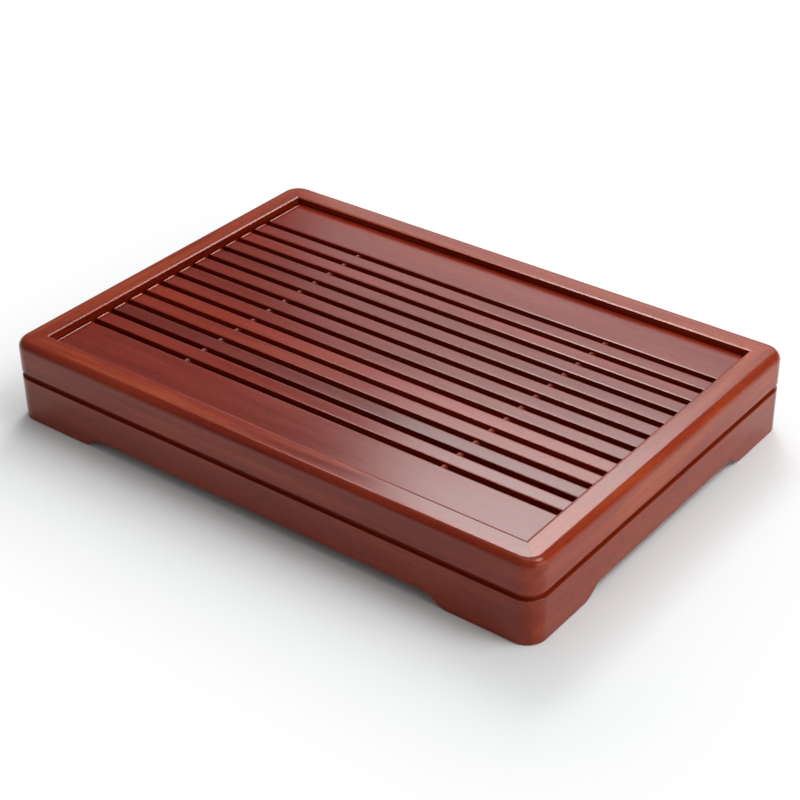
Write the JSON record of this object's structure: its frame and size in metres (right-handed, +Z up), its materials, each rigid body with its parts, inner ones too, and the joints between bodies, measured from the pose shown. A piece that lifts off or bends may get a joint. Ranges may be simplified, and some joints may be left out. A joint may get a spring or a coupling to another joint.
{
  "type": "gongfu tea tray",
  "caption": "Low wooden tea tray with a recessed slatted deck that lifts off a footed base, over a loose pan that catches spilled tea.",
  "frame": {"origin": "centre of the footprint, on the table", "axes": "+X along the long side, +Y to the back, +Z up"},
  "size_m": [0.43, 0.301, 0.0605],
  "materials": {
    "frame_lacquer": "satin lacquer over red-brown wood",
    "panel_lacquer": "satin lacquer over red-brown wood",
    "base_lacquer": "satin lacquer over red-brown wood",
    "inner_wood": "oiled, unpolished",
    "screw_steel": "zinc plated",
    "reservoir_plastic": "moulded, fine matte"
  },
  "bodies": {
    "base": {"base_front": "base_lacquer", "base_back": "base_lacquer", "base_left": "base_lacquer", "base_right": "base_lacquer", "base_corner_splines": "inner_wood", "floor_panel": "inner_wood", "foot_block_front_left": "inner_wood", "foot_block_front_right": "inner_wood", "foot_block_back_right": "inner_wood", "foot_block_back_left": "inner_wood", "block_screws": "screw_steel"},
    "deck": {"frame_front": "frame_lacquer", "frame_back": "frame_lacquer", "frame_left": "frame_lacquer", "frame_right": "frame_lacquer", "deck_corner_splines": "inner_wood", "front_board": "panel_lacquer", "back_board": "panel_lacquer", "slat_01": "panel_lacquer", "slat_02": "panel_lacquer", "slat_03": "panel_lacquer", "slat_04": "panel_lacquer", "slat_05": "panel_lacquer", "slat_06": "panel_lacquer", "slat_07": "panel_lacquer", "slat_08": "panel_lacquer", "slat_09": "panel_lacquer", "slat_10": "panel_lacquer", "slat_11": "panel_lacquer", "rod_left": "panel_lacquer", "rod_right": "panel_lacquer", "bearer_front": "inner_wood", "bearer_back": "inner_wood", "bearer_left": "inner_wood", "bearer_right": "inner_wood", "bearer_screws": "screw_steel"},
    "reservoir": {"reservoir": "reservoir_plastic"}
  },
  "joints": [
    {"name": "deck_lift", "type": "slide", "parent": "base", "child": "deck", "axis": [0, 0, 1], "range_m": [0, 0.16]},
    {"name": "reservoir_lift", "type": "slide", "parent": "base", "child": "reservoir", "axis": [0, 0, 1], "range_m": [0, 0.08]}
  ],
  "couplings": [
    {"joint": "reservoir_lift", "follows": "deck_lift", "ratio": 0.5}
  ]
}
